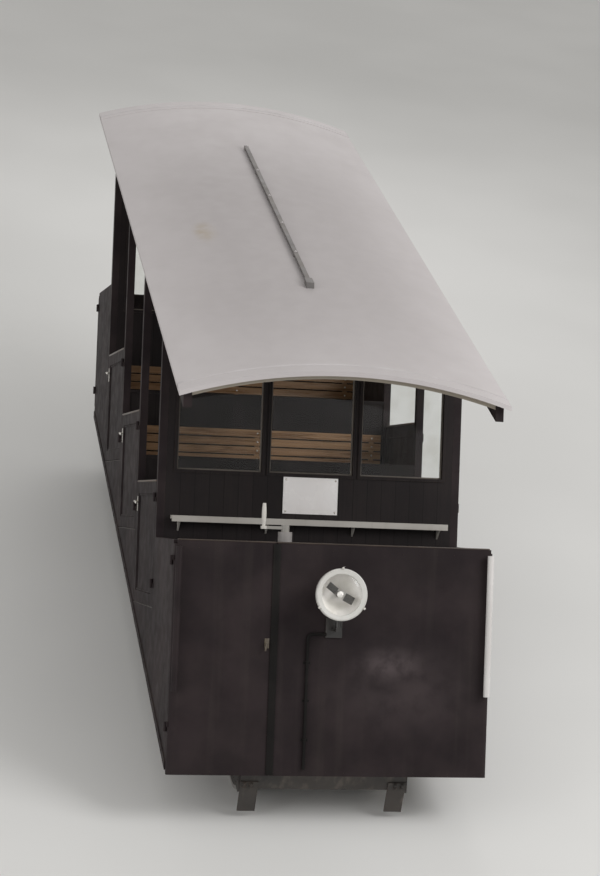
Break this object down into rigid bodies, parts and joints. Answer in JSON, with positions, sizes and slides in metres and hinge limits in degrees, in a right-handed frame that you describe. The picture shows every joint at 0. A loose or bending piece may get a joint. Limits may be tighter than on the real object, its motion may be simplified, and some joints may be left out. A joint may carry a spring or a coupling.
{
  "type": "funicular car",
  "caption": "Open-sided stepped funicular car for a steep metre-gauge line, with a barrel roof parallel to the rails and a driving platform at each end.",
  "frame": {"origin": "on the centre line at rail level, midway between the two axles", "axes": "+Y uphill along the rails, +X to the right when looking uphill, +Z square to the rails; the coachwork stands upright on a 27.5 degree slope"},
  "size_m": [2.43, 7.5154, 3.1176],
  "materials": {
    "body_paint": "dark brown gloss coach paint, weathered",
    "roof_paint": "pale grey matt roof paint",
    "frame_paint": "black paint under brake dust and grease",
    "window_glass": "clear plate glass",
    "wheel_steel": "dark cast steel with bright treads",
    "axle_steel": "turned steel, oily",
    "pole_steel": "bright steel, worn by hands",
    "floor_wood": "worn floor boards",
    "bench_wood": "varnished slats",
    "trim_paint": "pale cream paint",
    "lamp_paint": "white enamel",
    "lamp_glass": "fluted lens glass"
  },
  "bodies": {
    "body": {"frame_plates": "frame_paint", "cross_members": "frame_paint", "outriggers": "frame_paint", "axle_boxes": "frame_paint", "leaf_springs": "frame_paint", "spring_shackles": "frame_paint", "rail_brakes": "frame_paint", "brake_rod": "frame_paint", "rail_guards": "frame_paint", "rope_clevis": "frame_paint", "floors": "floor_wood", "side_walls": "body_paint", "posts": "body_paint", "cant_rails": "body_paint", "roof_sheet": "roof_paint", "roof_ribs": "body_paint", "ridge_bar": "frame_paint", "lower_bulkhead": "body_paint", "upper_bulkhead": "body_paint", "bulkhead_glass": "window_glass", "ledge_board": "trim_paint", "partitions": "body_paint", "bench_1": "bench_wood", "bench_2": "bench_wood", "bench_3": "bench_wood", "aprons": "body_paint", "corner_poles_right": "pole_steel", "headlamp_body": "lamp_paint", "headlamp_bezel": "lamp_paint", "headlamp_glass": "lamp_glass", "brake_columns": "frame_paint", "brake_cranks": "pole_steel"},
    "wheelset_lower": {"axle_lower": "axle_steel", "flanged_wheel_lower": "wheel_steel", "drum_wheel_lower": "wheel_steel"},
    "wheelset_upper": {"axle_upper": "axle_steel", "flanged_wheel_upper": "wheel_steel", "drum_wheel_upper": "wheel_steel"},
    "door_1_left": {"door_1_left": "body_paint"},
    "door_1_right": {"door_1_right": "body_paint"},
    "door_2_left": {"door_2_left": "body_paint"},
    "door_2_right": {"door_2_right": "body_paint"},
    "door_3_left": {"door_3_left": "body_paint"},
    "door_3_right": {"door_3_right": "body_paint"},
    "lower_gate": {"lower_gate": "body_paint", "corner_pole_lower_left": "pole_steel"},
    "upper_gate": {"upper_gate": "body_paint", "corner_pole_upper_left": "pole_steel"}
  },
  "joints": [
    {"name": "wheelset_lower_turn", "type": "hinge", "parent": "body", "child": "wheelset_lower", "pos_m": [0, -1.7869, 0.3], "axis": [1, 0, 0], "continuous": true},
    {"name": "wheelset_upper_turn", "type": "hinge", "parent": "body", "child": "wheelset_upper", "pos_m": [0, 1.7869, 0.3], "axis": [1, 0, 0], "continuous": true},
    {"name": "door_1_left_swing", "type": "hinge", "parent": "body", "child": "door_1_left", "pos_m": [-1.187, -0.71244, 1.33098], "axis": [0, 0.4617, 0.887], "range_deg": [0, 95]},
    {"name": "door_1_right_swing", "type": "hinge", "parent": "body", "child": "door_1_right", "pos_m": [1.187, -0.71244, 1.33098], "axis": [0, -0.4617, -0.887], "range_deg": [0, 95]},
    {"name": "door_2_left_swing", "type": "hinge", "parent": "body", "child": "door_2_left", "pos_m": [-1.187, 0.52768, 1.33098], "axis": [0, 0.4617, 0.887], "range_deg": [0, 95]},
    {"name": "door_2_right_swing", "type": "hinge", "parent": "body", "child": "door_2_right", "pos_m": [1.187, 0.52768, 1.33098], "axis": [0, -0.4617, -0.887], "range_deg": [0, 95]},
    {"name": "door_3_left_swing", "type": "hinge", "parent": "body", "child": "door_3_left", "pos_m": [-1.187, 1.7678, 1.33098], "axis": [0, 0.4617, 0.887], "range_deg": [0, 95]},
    {"name": "door_3_right_swing", "type": "hinge", "parent": "body", "child": "door_3_right", "pos_m": [1.187, 1.7678, 1.33098], "axis": [0, -0.4617, -0.887], "range_deg": [0, 95]},
    {"name": "lower_gate_swing", "type": "hinge", "parent": "body", "child": "lower_gate", "pos_m": [-1.187, -1.93609, 1.03994], "axis": [0, -0.4617, -0.887], "range_deg": [0, 100]},
    {"name": "upper_gate_swing", "type": "hinge", "parent": "body", "child": "upper_gate", "pos_m": [-1.187, 3.77219, 0.88685], "axis": [0, 0.4617, 0.887], "range_deg": [0, 100]}
  ]
}
